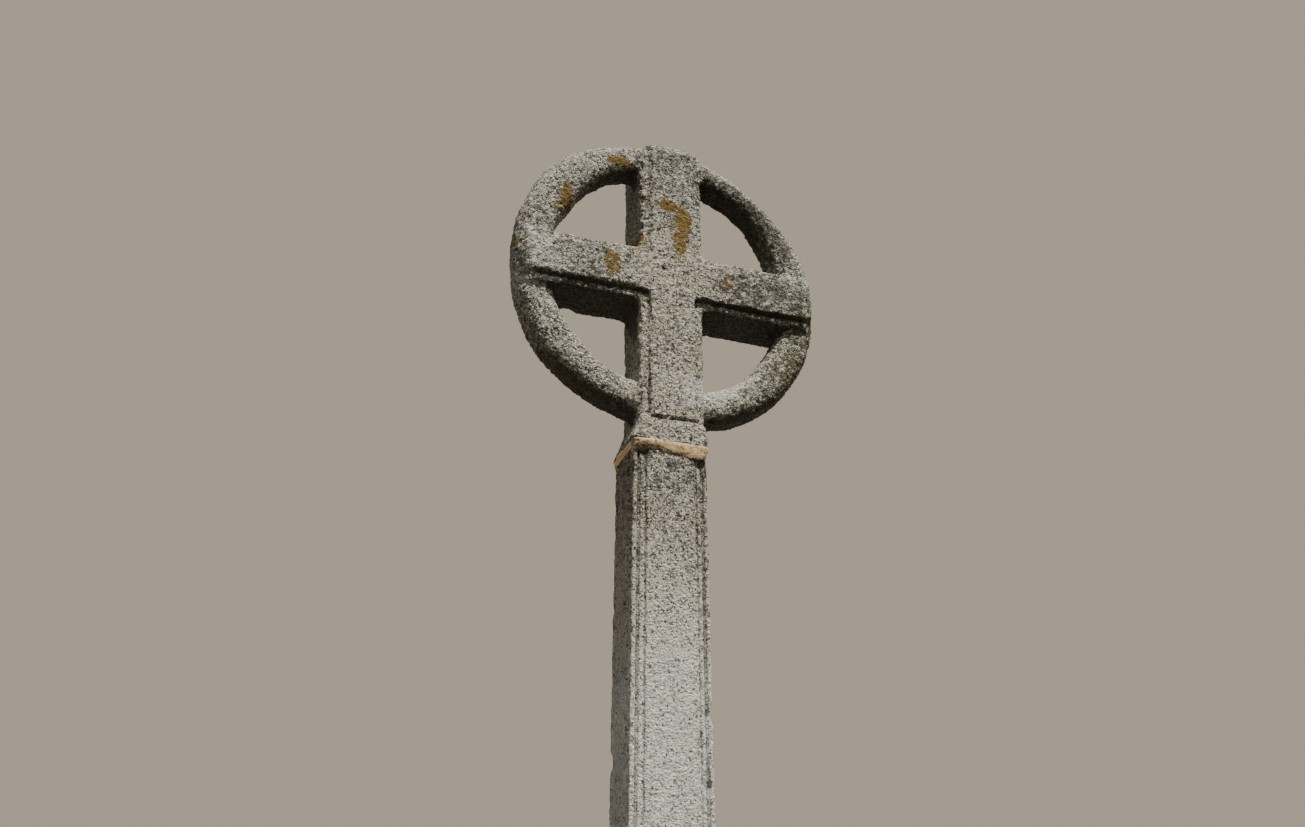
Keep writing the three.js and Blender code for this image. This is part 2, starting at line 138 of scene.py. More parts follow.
SHAFT_WORN_PLACES = [
    (0.056, -0.412, -0.057, 0.011, 0.009),
    (-0.06, -0.402, -0.057, 0.01, 0.008),
    (-0.08, -0.44, -0.054, 0.014, 0.004),
    (0.03, -0.64, -0.058, 0.016, 0.004),
    (0.073, -0.905, -0.055, 0.02, 0.006),
    (0.06, -1.04, -0.059, 0.016, 0.005),
    (-0.087, -1.32, -0.059, 0.026, 0.007),
    (0.078, -1.7, 0.06, 0.03, 0.008),
    (-0.084, -0.98, 0.057, 0.024, 0.007),
]

# Places of growths: x and height from the middle of the crossing, radius across, radius up, strength

ORANGE_LICHEN = [
    (-0.008, 0.168, 0.02, 0.013, 1.0),
    (0.018, 0.16, 0.014, 0.012, 0.8),
    (0.024, 0.135, 0.016, 0.026, 1.0),
    (0.016, 0.086, 0.015, 0.03, 0.9),
    (0.002, 0.12, 0.012, 0.016, 0.6),
    (-0.221, 0.157, 0.014, 0.026, 1.0),
    (-0.24, 0.128, 0.01, 0.016, 0.6),
    (-0.112, 0.268, 0.022, 0.013, 0.9),
    (-0.086, 0.262, 0.012, 0.012, 0.6),
    (-0.128, 0.006, 0.018, 0.026, 0.8),
    (0.116, 0.006, 0.012, 0.018, 0.7),
    (0.136, -0.04, 0.01, 0.008, 0.5),
    (-0.066, 0.078, 0.012, 0.012, 0.9),
    (-0.322, 0.038, 0.01, 0.014, 0.7),
    (0.01, -0.23, 0.012, 0.016, 0.3),
]

SOOT_AND_SHADOW_PLACES = [
    (0.205, -0.01, 0.095, 0.05, 0.8),
    (0.275, 0.0, 0.03, 0.05, 0.6),
    (0.0, 0.29, 0.07, 0.04, 0.5),
    (0.0, 0.2, 0.06, 0.08, 0.34),
    (-0.22, 0.0, 0.11, 0.05, 0.5),
    (0.0, -0.35, 0.08, 0.02, 0.12),
    # Painted shadow: a thin dark strip on the bead under the left arm, in the shade of the panel above it.
    (-0.17, -0.058, 0.08, 0.008, 0.8),
]
CLEAN_PLACES = [
    (0.0, -0.09, 0.07, 0.12, 0.55),
    (0.0, -0.28, 0.07, 0.11, 0.7),
    (0.0, 0.02, 0.075, 0.06, 0.9),
]

# Growths on the ring: middle of the arc, half its spread, inner and outer radius, strength

RING_PALE = [(138, 42, 0.23, 0.34, 0.12), (72, 20, 0.29, 0.34, 0.6), (182, 14, 0.23, 0.34, 0.6),
             (-68, 18, 0.23, 0.3, 0.7), (222, 30, 0.225, 0.262, 0.9), (8, 14, 0.29, 0.34, 0.4)]
# Painted shade: the arc at 48 degrees, on the inner part of the upper right quadrant, which faces down and
# left away from the key light.
RING_SOOT_AND_SHADE = [(222, 40, 0.262, 0.34, 0.1), (48, 30, 0.225, 0.3, 1.0), (-86, 22, 0.275, 0.34, 0.1),
             (-28, 16, 0.22, 0.3, 0.4), (169, 13, 0.23, 0.34, 0.55)]
RING_MOSS = [(-32, 30, 0.262, 0.34, 0.9), (34, 20, 0.23, 0.315, 0.45), (-76, 12, 0.29, 0.34, 0.2)]

MOSS_HEIGHT = 0.13  # how far the moss climbs from the foot of the plinth and of the step

# Light that falls on a point from the open sky is tried along these directions: azimuth and height in degrees

SKY_DIRECTIONS = [(0, 90), (0, 50), (72, 50), (144, 50), (216, 50), (288, 50)]
SKY_RAY_START = 0.007

# Reeded corner of the shaft, in metres

CORNER_REED = 0.0050
FACE_REED = 0.0045
QUIRK_WIDTH = 0.0050
QUIRK_DEPTH = 0.0085
SHAFT_GROOVE_WIDTH = 0.004
SHAFT_GROOVE_DEPTH = 0.004
SHAFT_PANEL_RISE = 0.0018
SHAFT_BLOCK_PROJECTION = 0.005
SHAFT_TOP_HALVES = (0.075, 0.055)
SHAFT_FOOT_HALVES = (0.09, 0.0595)
FOOT_HALVES = (0.078, 0.063)  # of the head's foot, over the mortar
SHAFT_BLOCK_HEIGHT = 0.230
SHAFT_STOP_HEIGHT = 0.034
SHAFT_CORNER_WIDTH = 2 * CORNER_REED + QUIRK_WIDTH + 2 * FACE_REED + SHAFT_GROOVE_WIDTH
FRONT_STEPS, SIDE_STEPS = 13, 7  # points along half of each panel

# Mortar joint: share of the joint's height and fullness of the bulge there, then sizes in metres

COLLAR_PROFILE = [
    (0.0, -0.01), (0.1, -0.002), (0.22, 0.55), (0.36, 0.95), (0.5, 1.0), (0.64, 1.0), (0.78, 0.9), (0.9, 0.5),
    (1.0, -0.002)]
COLLAR_INSET = 0.003
COLLAR_RADIUS = 0.009
MORTAR_MARGIN = Vector((0.003, 0.003, 0.02))  # how far the smears may pass the joint's own box

# Stage: camera in metres, degrees and millimetres, and the light from below and from above

CAMERA_PLACE = (-1.0559, -2.9257, 1.1625)
CAMERA_TURN = (118.08, 0.0, -19.55)
CAMERA_LENS, SENSOR_WIDTH = 49.66, 36.0
CAMERA_REACH = 200.0
FLOOR_RADIUS = 30.0
LOWER_AIR, UPPER_AIR = (0.19, 0.16, 0.12), (0.95, 0.93, 0.9)


def colour(name, text, default):
    return bpy.props.FloatVectorProperty(
        name=name, description=text, default=default, size=3, min=0.0, max=1.0, subtype="COLOR")


def number(name, text, default, unit="NONE"):
    return bpy.props.FloatProperty(name=name, description=text, default=default, min=0.0, unit=unit)


def length(name, text, default):
    return number(name, text, default, "LENGTH")


class GraniteProperties(bpy.types.PropertyGroup):
    feldspar: colour("Feldspar", "The grey-beige crystals of most of the stone", (0.25, 0.228, 0.172))
    quartz: colour("Quartz", "The pale crystals", (0.68, 0.66, 0.58))
    bright: colour("Bright Ground", "The whitish stone of the cleanest places", (0.97, 0.97, 0.91))
    mica: colour("Mica", "The dark crystals", (0.02, 0.018, 0.014))
    warm: colour("Warm Tint", "The pinkish-beige tone of cleaner stone", (0.58, 0.49, 0.36))
    pale_lichen: colour("Pale Lichen", "The whitish-grey crust on faces open to the rain", (0.5, 0.5, 0.45))
    orange_lichen: colour("Orange Lichen", "The ochre patches", (0.185, 0.108, 0.006))
    # This dark growth also stands for painted shade where little sky is seen and in hollows.
    algae_and_shade: colour("Algae", "The dark growth on undersides and in hollows", (0.022, 0.018, 0.008))
    # This dark crust also paints shade on the ring's upper right inner face and a shadow under the left arm.
    soot: colour("Dark Crust", "The charcoal-green crust on the ring", (0.036, 0.037, 0.025))
    # Painted shade: this brown tints the faces turned from the key light, the left faces and the undersides.
    stain: colour("Brown Stain", "The brown tone of faces turned away from the rain", (0.135, 0.094, 0.048))
    moss: colour("Moss", "The olive growth on the right of the ring", (0.06, 0.054, 0.01))
    crystal_size: length("Crystal Size", "Width of one of the larger crystals", 0.0048)
    speck_size: length("Speck Size", "Width of one of the small specks", 0.0028)
    crystal_height: length("Crystal Height", "How far the crystals stand out", 0.0025)


class MortarProperties(bpy.types.PropertyGroup):
    sand: colour("Sand", "The tan body of the mortar", (0.56, 0.385, 0.19))
    lime: colour("Lime", "The paler, trowelled skin", (0.72, 0.52, 0.29))
    grit: colour("Grit", "The dark specks", (0.12, 0.085, 0.055))
    crust: colour("Crust", "The grey crust that hides the joint's lower edge", (0.235, 0.215, 0.165))
    smear: length("Smear", "How far the mortar runs over the stones above and below", 0.011)
    proud: length("Proud", "How far the mortar stands in front of the shaft's panel", 0.0016)


class StageProperties(bpy.types.PropertyGroup):
    floor: colour("Floor", "The pale floor", (0.62, 0.59, 0.54))
    air: colour("Backdrop", "The pale air behind the cross", (0.44, 0.378, 0.29))
    sun_strength: number("Key Light", "Strength of the high key light", 7.6)
    back_strength: number("Back Light", "Strength of the soft light on the hidden sides", 1.5)
    bounce_strength: number("Bounce Light", "Strength of the soft light from the lower left", 0.75)
    air_strength: number("Soft Fill", "Strength of the light from all round", 0.5)


# Node trees


def set_inputs(tree, node, values):
    """Sets or links each named input. Colours may come without their alpha."""
    for key, value in values.items():
        socket = node.inputs[key]
        if isinstance(value, bpy.types.NodeSocket):
            tree.links.new(value, socket)
        else:
            socket.default_value = (*value[:3], 1.0) if socket.type == "RGBA" else value


def add_node(tree, kind, inputs=None, **settings):
    """Adds a node, applies its settings, and sets or links each named input."""
    node = tree.nodes.new(kind)
    for key, value in settings.items():
        setattr(node, key, value)
    set_inputs(tree, node, inputs or {})
    return node


def calculate(tree, operation, *values, clamp=False):
    inputs = dict(enumerate(values))
    return add_node(tree, "ShaderNodeMath", inputs, operation=operation, use_clamp=clamp).outputs[0]


def times(tree, first, second):
    return calculate(tree, "MULTIPLY", first, second)


def plus(tree, first, second, clamp=False):
    return calculate(tree, "ADD", first, second, clamp=clamp)


def minus(tree, first, second):
    return calculate(tree, "SUBTRACT", first, second)


def vector_math(tree, operation, inputs):
    return add_node(tree, "ShaderNodeVectorMath", inputs, operation=operation).outputs["Vector"]


def split(tree, vector):
    return add_node(tree, "ShaderNodeSeparateXYZ", {"Vector": vector}).outputs


def ease(tree, value, low, high):
    """Rises smoothly from 0 to 1 as the value goes from low to high, or falls where low is the greater."""
    inputs = {"Value": value, "From Min": low, "From Max": high}
    return add_node(tree, "ShaderNodeMapRange", inputs, interpolation_type="SMOOTHSTEP").outputs["Result"]


def noise(tree, vector, scale, seed, detail=2.0, roughness=0.5):
    inputs = {"Vector": vector, "Scale": scale, "W": seed, "Detail": detail, "Roughness": roughness}
    return add_node(tree, "ShaderNodeTexNoise", inputs, noise_dimensions="4D").outputs["Fac"]


def cells(tree, vector, scale, seed):
    inputs = {"Vector": vector, "Scale": scale, "W": seed}
    return add_node(tree, "ShaderNodeTexVoronoi", inputs, voronoi_dimensions="4D")


def blend(tree, share, first, second):
    inputs = {0: share, 6: first, 7: second}
    return add_node(tree, "ShaderNodeMix", inputs, data_type="RGBA", clamp_factor=True).outputs[2]


def new_group(name, kind, inputs, outputs):
    """An empty node group. Each input comes with its default, or with its socket's kind where it has none."""
    tree = bpy.data.node_groups.new(name, kind)
    for key, value in inputs.items():
        plain = value if isinstance(value, str) else "Color" if isinstance(value, tuple) else "Float"
        socket = tree.interface.new_socket(key, in_out="INPUT", socket_type="NodeSocket" + plain)
        if plain != value:
            socket.default_value = value
    for key, plain in outputs.items():
        tree.interface.new_socket(key, in_out="OUTPUT", socket_type="NodeSocket" + plain)
    return tree, tree.nodes.new("NodeGroupInput").outputs, tree.nodes.new("NodeGroupOutput")


def weathering_tree():
    """Geometry nodes that swell, grain, pit, chip and tool the face of a stone along its normals."""
    name = "Stone weathering"
    if name in bpy.data.node_groups:
        return bpy.data.node_groups[name]
    inputs = {"Geometry": "Geometry", "Material": "Material", **dict.fromkeys(WEATHERING_KEYS, 0.0)}
    tree, given, result = new_group(name, "GeometryNodeTree", inputs, {"Geometry": "Geometry"})
    position = add_node(tree, "GeometryNodeInputPosition").outputs["Position"]
    normal = add_node(tree, "GeometryNodeInputNormal").outputs["Normal"]

    def named(attribute):
        node = add_node(tree, "GeometryNodeInputNamedAttribute", {"Name": attribute}, data_type="FLOAT")
        return node.outputs["Attribute"]

    def per_metre(size):
        return calculate(tree, "DIVIDE", 1.0, given[size])

    def seeded(offset):
        return plus(tree, given["Seed"], offset)

    swell = noise(tree, position, per_metre("Swell Size"), seeded(0.0), 2.0)
    swell = times(tree, times(tree, minus(tree, swell, SWELL_LEVEL), given["Swell Height"]), 3.0)
    grain = noise(tree, position, per_metre("Grain Size"), seeded(7.0), 2.5, 0.62)
    grain = times(tree, times(tree, minus(tree, grain, GRAIN_LEVEL), given["Grain Height"]), 4.0)

    pit_cells = cells(tree, position, per_metre("Pit Size"), seeded(3.0))
    pit_shape = ease(tree, pit_cells.outputs["Distance"], 0.52, 0.12)
    pick = split(tree, pit_cells.outputs["Color"])["X"]
    pit = times(tree, pit_shape, calculate(tree, "LESS_THAN", pick, given["Pit Share"]))
    pit_drop = times(tree, pit, given["Pit Depth"])

    chip_noise = noise(tree, position, per_metre("Chip Size"), seeded(13.0), 2.0, 0.55)
    chip = times(tree, ease(tree, chip_noise, 0.52, 0.66), named("arris"))
    chip_drop = times(tree, chip, given["Chip Depth"])
    wear_drop = times(tree, named("arris"), given["Arris Wear"])

    parts = split(tree, position)
    along = plus(tree, times(tree, parts["X"], 0.55), parts["Z"])
    along = plus(tree, along, times(tree, parts["Y"], 0.55))
    bend = times(tree, noise(tree, position, 14.0, seeded(17.0), 2.0), 0.05)
    turns = calculate(tree, "DIVIDE", plus(tree, along, bend), given["Tooling Spacing"])
    stroke = calculate(tree, "SINE", times(tree, turns, 2 * math.pi))
    stroke = ease(tree, stroke, 0.1, 1.0)
    kept = ease(tree, noise(tree, position, 9.0, seeded(19.0), 2.0), 0.44, 0.58)
    tool_drop = times(tree, times(tree, stroke, kept), given["Tooling Depth"])

    height = plus(tree, swell, grain)
    for drop in (pit_drop, chip_drop, wear_drop, tool_drop):
        height = minus(tree, height, drop)
    free = minus(tree, 1.0, named("bedded"))
    offset = vector_math(tree, "SCALE", {0: normal, "Scale": times(tree, height, free)})

    inputs = {"Geometry": given["Geometry"], "Name": "pit", "Value": pit}
    stored = add_node(tree, "GeometryNodeStoreNamedAttribute", inputs, data_type="FLOAT", domain="POINT")
    moved = add_node(tree, "GeometryNodeSetPosition", {"Geometry": stored.outputs[0], "Offset": offset})
    real = add_node(tree, "GeometryNodeRealizeInstances", {"Geometry": moved.outputs[0]}).outputs[0]
    clad = add_node(tree, "GeometryNodeSetMaterial", {"Geometry": real, "Material": given["Material"]})
    set_inputs(tree, result, {"Geometry": clad.outputs[0]})
    return tree


def speckle_group():
    """Crystals of granite: larger ones and specks, each pale, grey or dark, with the height of each."""
    name = "Granite speckle"
    if name in bpy.data.node_groups:
        return bpy.data.node_groups[name]
    tree, given, result = new_group(name, "ShaderNodeTree", {
        "Vector": "Vector", "Crystal Size": 0.006, "Speck Size": 0.003, "Ground": (0.3, 0.3, 0.3, 1.0),
        "Pale": (0.6, 0.6, 0.6, 1.0), "Dark": (0.03, 0.03, 0.03, 1.0), "Pale Share": 0.25, "Dark Share": 0.22,
    }, {"Color": "Color", "Height": "Float"})
    wobble = add_node(tree, "ShaderNodeTexNoise", {"Vector": given["Vector"], "Scale": 210.0, "Detail": 2.0})
    shift = vector_math(tree, "SUBTRACT", {0: wobble.outputs["Color"], 1: (0.5, 0.5, 0.5)})
    shift = vector_math(tree, "SCALE", {0: shift, "Scale": 0.006})
    place = vector_math(tree, "ADD", {0: given["Vector"], 1: shift})
    tone = given["Ground"]
    heights = []
    for size, seed, pale_strength, dark_strength in (
            ("Crystal Size", 1.0, 0.90, 0.74), ("Speck Size", 5.0, 0.85, 0.90)):
        grains = cells(tree, place, calculate(tree, "DIVIDE", 1.0, given[size]), seed)
        pick = split(tree, grains.outputs["Color"])
        pale = calculate(tree, "LESS_THAN", pick["X"], given["Pale Share"])
        dark = calculate(tree, "LESS_THAN", pick["Y"], given["Dark Share"])
        tone = blend(tree, times(tree, pale, pale_strength), tone, given["Pale"])
        tone = blend(tree, times(tree, dark, dark_strength), tone, given["Dark"])
        rounded = ease(tree, grains.outputs["Distance"], 0.75, 0.0)
        step = minus(tree, times(tree, pale, 0.5), times(tree, dark, 0.7))
        heights.append(plus(tree, times(tree, rounded, 0.6), step))
    height = plus(tree, heights[0], times(tree, heights[1], 0.5))
    set_inputs(tree, result, {"Color": tone, "Height": height})
    return tree


def growth_group():
    """A patchy growth: its amount, broken up by noise into islands with a ragged edge."""
    name = "Patchy growth"
    if name in bpy.data.node_groups:
        return bpy.data.node_groups[name]
    tree, given, result = new_group(name, "ShaderNodeTree", {
        "Vector": "Vector", "Amount": 0.5, "Island Size": 0.02, "Break Up": 1.5, "Softness": 0.2, "Seed": 0.0,
    }, {"Mask": "Float"})
    scale = calculate(tree, "DIVIDE", 1.0, given["Island Size"])
    islands = noise(tree, given["Vector"], scale, given["Seed"], 7.0, 0.68)
    uneven = times(tree, minus(tree, islands, 0.5), given["Break Up"])
    level = plus(tree, given["Amount"], times(tree, uneven, 2.0))
    low = minus(tree, 0.5, given["Softness"])
    high = plus(tree, 0.5, given["Softness"])
    set_inputs(tree, result, {"Mask": ease(tree, level, low, high)})
    return tree


def new_material(name):
    material = bpy.data.materials.new(name)
    material.use_nodes = True
    tree = material.node_tree
    tree.nodes.clear()
    shader = add_node(tree, "ShaderNodeBsdfPrincipled", {"Specular IOR Level": 0.25})
    add_node(tree, "ShaderNodeOutputMaterial", {"Surface": shader.outputs["BSDF"]})
    where = add_node(tree, "ShaderNodeTexCoord").outputs["Object"]
    return material, tree, shader, where


def use_group(tree, group, inputs):
    return add_node(tree, "ShaderNodeGroup", inputs, node_tree=group).outputs


def grow(tree, where, tone, growth, amount, tint):
    """Covers a tone with a patchy growth. Gives the new tone and the growth's mask."""
    island, ragged, softness, seed, share = GROWTHS[growth]
    mask = use_group(tree, growth_group(), {
        "Vector": where, "Amount": amount, "Island Size": island, "Break Up": ragged, "Softness": softness,
        "Seed": seed})["Mask"]
    return blend(tree, times(tree, mask, share), tone, tint), mask


def attribute(tree, name):
    return add_node(tree, "ShaderNodeAttribute", attribute_name=name).outputs["Fac"]


def granite_material(stone):
    """Speckled granite under its growths, as warm, pale, dark, grimy and rough as the stone's row says."""
    look = bpy.context.scene.ringed_cross_granite
    warmth, paleness, darkness, grime_and_shade_share, roughness = GRANITE[stone]
    material, tree, shader, where = new_material(stone + " granite")
    pale_place, rain = attribute(tree, "pale"), attribute(tree, "rain")

    broad = noise(tree, where, 9.0, 2.0, 3.0, 0.6)
    cloud = noise(tree, where, 34.0, 8.0, 3.0, 0.6)
    warm_share = times(tree, ease(tree, broad, 0.38, 0.62), warmth)
    warm_share = plus(tree, warm_share, times(tree, attribute(tree, "clean"), 0.75), clamp=True)
    ground = blend(tree, warm_share, look.feldspar, look.warm)
    ground = blend(tree, times(tree, pale_place, 0.85), ground, look.bright)
    dark_share = minus(tree, minus(tree, 0.34, times(tree, cloud, 0.30)), times(tree, pale_place, 0.14))
    speckle = use_group(tree, speckle_group(), {
        "Vector": where, "Crystal Size": look.crystal_size, "Speck Size": look.speck_size, "Ground": ground,
        "Pale": look.quartz, "Dark": look.mica, "Pale Share": plus(tree, 0.19, times(tree, cloud, 0.22)),
        "Dark Share": dark_share})
    # Painted shade: the faces turned from the key light are tinted brown, in broad patches.
    painted_shade_share = times(tree, attribute(tree, "stain"), ease(tree, broad, 0.25, 0.75))
    tone = blend(tree, times(tree, painted_shade_share, 0.85), speckle["Color"], look.stain)

    # Pale growth is thicker where more sky is seen: partly rain-fed lichen, partly a painted lighter tone on
    # open faces.
    pale = plus(tree, plus(tree, times(tree, rain, 0.36), paleness), times(tree, pale_place, 0.26))
    # Dark crust, with painted shade and shadow in the places listed for it.
    soot = plus(tree, times(tree, attribute(tree, "soot"), 0.62), darkness)
    soot = plus(tree, soot, times(tree, attribute(tree, "pit"), 0.5))
    # Dark growth where little sky is seen: partly algae, partly painted shade under the stone and in
    # recesses.
    algae_and_shade = times(tree, ease(tree, minus(tree, 1.0, rain), 0.80, 1.0), 0.80)
    algae_and_shade = plus(tree, algae_and_shade, times(tree, attribute(tree, "hollow"), grime_and_shade_share))
    masks = {}
    for growth, amount, tint in (
            ("pale", pale, look.pale_lichen),
            ("soot", soot, look.soot),
            ("moss", times(tree, attribute(tree, "moss"), 0.62), look.moss),
            ("orange", times(tree, attribute(tree, "orange"), 0.80), look.orange_lichen),
            ("algae_and_shade", algae_and_shade, look.algae_and_shade)):
        tone, masks[growth] = grow(tree, where, tone, growth, amount, tint)

    fine = noise(tree, where, 320.0, 3.0, 3.0, 0.65)
    height = speckle["Height"]
    for layer, share in ((masks["pale"], 0.5), (masks["orange"], 0.6),
                         (noise(tree, where, 160.0, 3.0, 2.0, 0.6), 5.0), (fine, 3.0)):
        height = plus(tree, height, times(tree, layer, share))
    bump = add_node(tree, "ShaderNodeBump", {
        "Height": height, "Distance": look.crystal_height * roughness, "Strength": 1.0})
    rough = plus(tree, 0.80, times(tree, fine, 0.25), clamp=True)
    set_inputs(tree, shader, {"Base Color": tone, "Roughness": rough, "Normal": bump.outputs["Normal"]})
    return material


def mortar_material():
    look = bpy.context.scene.ringed_cross_mortar
    material, tree, shader, where = new_material("tan lime mortar")
    cloud = noise(tree, where, 60.0, 2.0, 4.0, 0.6)
    tone = blend(tree, ease(tree, cloud, 0.36, 0.62), look.sand, look.lime)
    grains = use_group(tree, speckle_group(), {
        "Vector": where, "Crystal Size": 0.0032, "Speck Size": 0.0018, "Ground": tone, "Pale": look.lime,
        "Dark": look.grit, "Pale Share": 0.10, "Dark Share": 0.07})
    # The mortar's dark grit is thicker in hollows: dirt, and painted shade as well.
    dirt = plus(tree, 0.10, times(tree, attribute(tree, "hollow"), 0.5))
    tone = grow(tree, where, grains["Color"], "dirt", dirt, look.grit)[0]
    stony = use_group(tree, speckle_group(), {
        "Vector": where, "Crystal Size": 0.0043, "Speck Size": 0.0024, "Ground": look.crust,
        "Pale": look.lime, "Dark": look.grit, "Pale Share": 0.25, "Dark Share": 0.2})
    tone = grow(tree, where, tone, "crust", attribute(tree, "crust"), stony["Color"])[0]
    bump = add_node(tree, "ShaderNodeBump", {"Height": grains["Height"], "Distance": 0.0007, "Strength": 0.8})
    set_inputs(tree, shader, {"Base Color": tone, "Normal": bump.outputs["Normal"], "Roughness": 0.92})
    return material


# Meshes


def make_piece(name, shell):
    """Turns a shell of faces into an object in the scene."""
    mesh = bpy.data.meshes.new(name)
    shell.to_mesh(mesh)
    shell.free()
    piece = bpy.data.objects.new(name, mesh)
    bpy.context.scene.collection.objects.link(piece)
    return piece


def merged_copy(node, name):
    """A copy of a node's mesh with its loose triangles joined."""
    shell = bmesh.new()
    shell.from_mesh(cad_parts[node].data)
    bmesh.ops.remove_doubles(shell, verts=shell.verts, dist=MERGE_DISTANCE)
    bmesh.ops.recalc_face_normals(shell, faces=shell.faces)
    return make_piece(name, shell)


def bake(piece):
    """Turns the piece's modifiers into plain mesh."""
    graph = bpy.context.evaluated_depsgraph_get()
    made = bpy.data.meshes.new_from_object(
        piece.evaluated_get(graph), preserve_all_data_layers=True, depsgraph=graph)
    piece.modifiers.clear()
    old = piece.data
    piece.data = made
    made.name = piece.name
    bpy.data.meshes.remove(old)


def remesh(piece, voxel):
    modifier = piece.modifiers.new("Even mesh", "REMESH")
    modifier.mode = "VOXEL"
    modifier.voxel_size = voxel
    bake(piece)


def thin_out(piece, triangles):
    """Lowers the number of triangles, most where the stone is flat."""
    now = sum(len(face.vertices) - 2 for face in piece.data.polygons)
    if now > triangles:
        modifier = piece.modifiers.new("Thin out", "DECIMATE")
        modifier.ratio = triangles / now
        bake(piece)


def weather(piece, stone, material):
    modifier = piece.modifiers.new("Weathering", "NODES")
    modifier.node_group = weathering_tree()
    values = dict(zip(WEATHERING_KEYS, WEATHERING[stone]), Material=material)
    for item in modifier.node_group.interface.items_tree:
        if item.item_type == "SOCKET" and item.in_out == "INPUT" and item.name in values:
            modifier[item.identifier] = values[item.name]
    bake(piece)
    mesh = piece.data
    mesh.materials.clear()
    mesh.materials.append(material)
    mesh.polygons.foreach_set("material_index", np.zeros(len(mesh.polygons), np.int32))


def read_vectors(items, name):
    flat = np.empty(len(items) * 3, np.float32)
    items.foreach_get(name, flat)
    return flat.reshape(-1, 3).astype(np.float64)


def read_points(mesh):
    return read_vectors(mesh.vertices, "co")


def write_points(mesh, points):
    mesh.vertices.foreach_set("co", points.astype(np.float32).ravel())
    mesh.update()


def read_edges(mesh):
    flat = np.empty(len(mesh.edges) * 2, np.int32)
    mesh.edges.foreach_get("vertices", flat)
    return flat.reshape(-1, 2)


def average_over(values, edges, rounds):
    """Each value becomes the mean of itself and its neighbours, again and again."""
    count = len(values)
    first, second = edges[:, 0], edges[:, 1]
    share = 1.0 + np.bincount(first, minlength=count) + np.bincount(second, minlength=count)
    flat = values.reshape(count, -1)
    for _ in range(rounds):
        total = flat.copy()
        for column in range(flat.shape[1]):
            total[:, column] += np.bincount(first, flat[second, column], count)
            total[:, column] += np.bincount(second, flat[first, column], count)
        flat = total / share[:, None]
    return flat.reshape(values.shape)


def smooth_normals(mesh, rounds):
    return average_over(read_vectors(mesh.vertex_normals, "vector"), read_edges(mesh), rounds)


def unit(vectors):
    return vectors / (np.linalg.norm(vectors, axis=1)[:, None] + 1e-9)


def relief(mesh, rounds):
    """How far each point's surroundings stand in front of it: above 0 in a hollow, below on an arris."""
    points = read_points(mesh)
    around = average_over(points, read_edges(mesh), rounds)
    return np.einsum("ij,ij->i", around - points, smooth_normals(mesh, 2))


def limit(values):
    return np.clip(values, 0.0, 1.0)


def store(mesh, name, values):
    """Stores a share from 0 to 1 at each point."""
    layer = mesh.attributes.new(name, "FLOAT", "POINT")
    layer.data.foreach_set("value", limit(values).astype(np.float32))


def store(mesh, name, values):
    if name in mesh.attributes:
        mesh.attributes.remove(mesh.attributes[name])
    layer = mesh.attributes.new(name, "FLOAT", "POINT")
    layer.data.foreach_set("value", limit(values).astype(np.float32))


def mark_for_weathering(mesh, arris_height, rounds, low, high, margin):
    """Marks the arrises, which chip, and the beds, which stay flat for the stone that meets them."""
    heights = read_points(mesh)[:, 2]
    sharp = average_over(limit(-relief(mesh, rounds) / arris_height), read_edges(mesh), 2)
    store(mesh, "arris", sharp * 1.3)
    near = np.minimum(heights - low, high - heights)
    store(mesh, "bedded", 1.0 - near / margin)


def wear_places(mesh, places):
    """Presses worn places into the stone, along the smoothed normals."""
    points, normals = read_points(mesh), unit(smooth_normals(mesh, 8))
    start = points.copy()
    for x, z, y, radius, depth in places:
        far = np.linalg.norm(start - (AXIS_X + x, y, CROSSING_Z + z), axis=1) / radius
        share = limit(1.0 - far * far) ** 1.5
        points -= normals * (share * depth)[:, None]
    write_points(mesh, points)


def wear_faint(mesh, rounds):
    """Wears the mouldings faint on the front: most on the upper half, where the rain has rounded them."""
    points, edges = read_points(mesh), read_edges(mesh)
    front = limit((-points[:, 1] - 0.030) / 0.012)
    upper = limit((points[:, 2] - CROSSING_Z - 0.015) / 0.03)
    lower = limit((CROSSING_Z - 0.02 - points[:, 2]) / 0.03)
    across = points[:, 0] - AXIS_X
    strength = np.select([across < -0.078, across > 0.078], [LEFT_ARM_WEAR, RIGHT_ARM_WEAR], UPRIGHT_WEAR)
    share = average_over(front * (upper * UPPER_WEAR + lower * strength), edges, 4)
    soft = average_over(points, edges, rounds)
    write_points(mesh, points + (soft - points) * share[:, None])


def cut_line(mesh, middle_x, height, half_length, half_width, depth):
    """Cuts a level line into the front of the stone."""
    points = read_points(mesh)
    across = 1.0 - np.abs(points[:, 2] - height - 0.03 * (points[:, 0] - middle_x)) / half_width
    along = (half_length - np.abs(points[:, 0] - middle_x)) / half_width
    share = limit(across * 1.6) * limit(along) * (points[:, 1] < -0.03)
    points[:, 1] += share * depth
    write_points(mesh, points)


def frame_tree():
    """All the packed stones as one tree for ray casts."""
    points, faces = [], []
    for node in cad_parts.values():
        base = len(points)
        points += [vertex.co.copy() for vertex in node.data.vertices]
        faces += [[base + index for index in face.vertices] for face in node.data.polygons]
    return BVHTree.FromPolygons(points, faces)


STONES = frame_tree()


